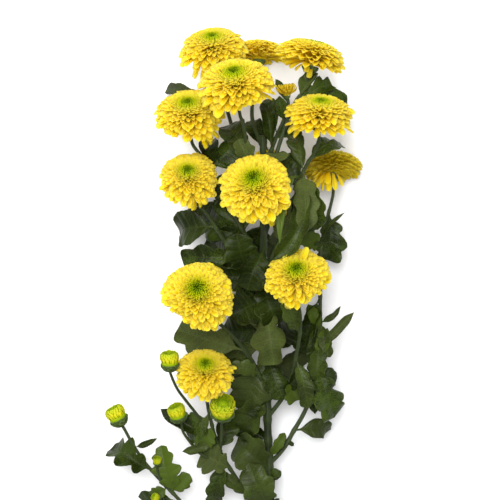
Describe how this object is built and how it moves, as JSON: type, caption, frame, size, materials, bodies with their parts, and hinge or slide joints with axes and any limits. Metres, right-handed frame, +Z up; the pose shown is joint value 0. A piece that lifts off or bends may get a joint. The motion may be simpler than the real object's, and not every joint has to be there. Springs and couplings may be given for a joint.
{
  "type": "cut chrysanthemum stem",
  "caption": "Cut flower stem lying on its side, with leafy side shoots, round yellow many-petalled blooms with green centres, and buds.",
  "frame": {"origin": "middle of the box round the whole stem, at the height of the surface it lies on", "axes": "+Y along the stem from its cut end to the flower heads, +Z up from the surface it lies on, +X to the right as seen from above with the heads away"},
  "size_m": [0.1847, 0.487, 0.1135],
  "materials": {
    "leaf_green": "satin",
    "petal_yellow": "matte",
    "eye_green": "matte",
    "bud_green": "matte"
  },
  "bodies": {
    "root": {"main_stem": "leaf_green", "shoot_01": "leaf_green", "shoot_02": "leaf_green", "shoot_03": "leaf_green", "shoot_04": "leaf_green", "shoot_05": "leaf_green", "shoot_06": "leaf_green", "shoot_07": "leaf_green", "shoot_08": "leaf_green", "shoot_09": "leaf_green", "shoot_10": "leaf_green", "shoot_11": "leaf_green", "shoot_12": "leaf_green", "shoot_13": "leaf_green", "shoot_14": "leaf_green", "shoot_15": "leaf_green", "bloom_01": "petal_yellow", "bloom_02": "petal_yellow", "bloom_03": "petal_yellow", "bloom_04": "petal_yellow", "bloom_05": "petal_yellow", "bloom_06": "petal_yellow", "bloom_07": "petal_yellow", "bloom_08": "petal_yellow", "bloom_09": "petal_yellow", "bloom_10": "petal_yellow", "bloom_11": "petal_yellow", "bloom_12": "petal_yellow", "bloom_13": "petal_yellow", "bloom_14": "petal_yellow", "eye_01": "eye_green", "eye_02": "eye_green", "eye_03": "eye_green", "eye_04": "eye_green", "eye_05": "eye_green", "eye_06": "eye_green", "eye_07": "eye_green", "eye_08": "eye_green", "eye_09": "eye_green", "eye_10": "eye_green", "eye_11": "eye_green", "eye_12": "eye_green", "eye_13": "eye_green", "eye_14": "eye_green", "bud_01": "bud_green", "bud_02": "bud_green", "bud_03": "bud_green", "bud_04": "bud_green", "bud_05": "bud_green", "bud_06": "bud_green"}
  },
  "joints": []
}
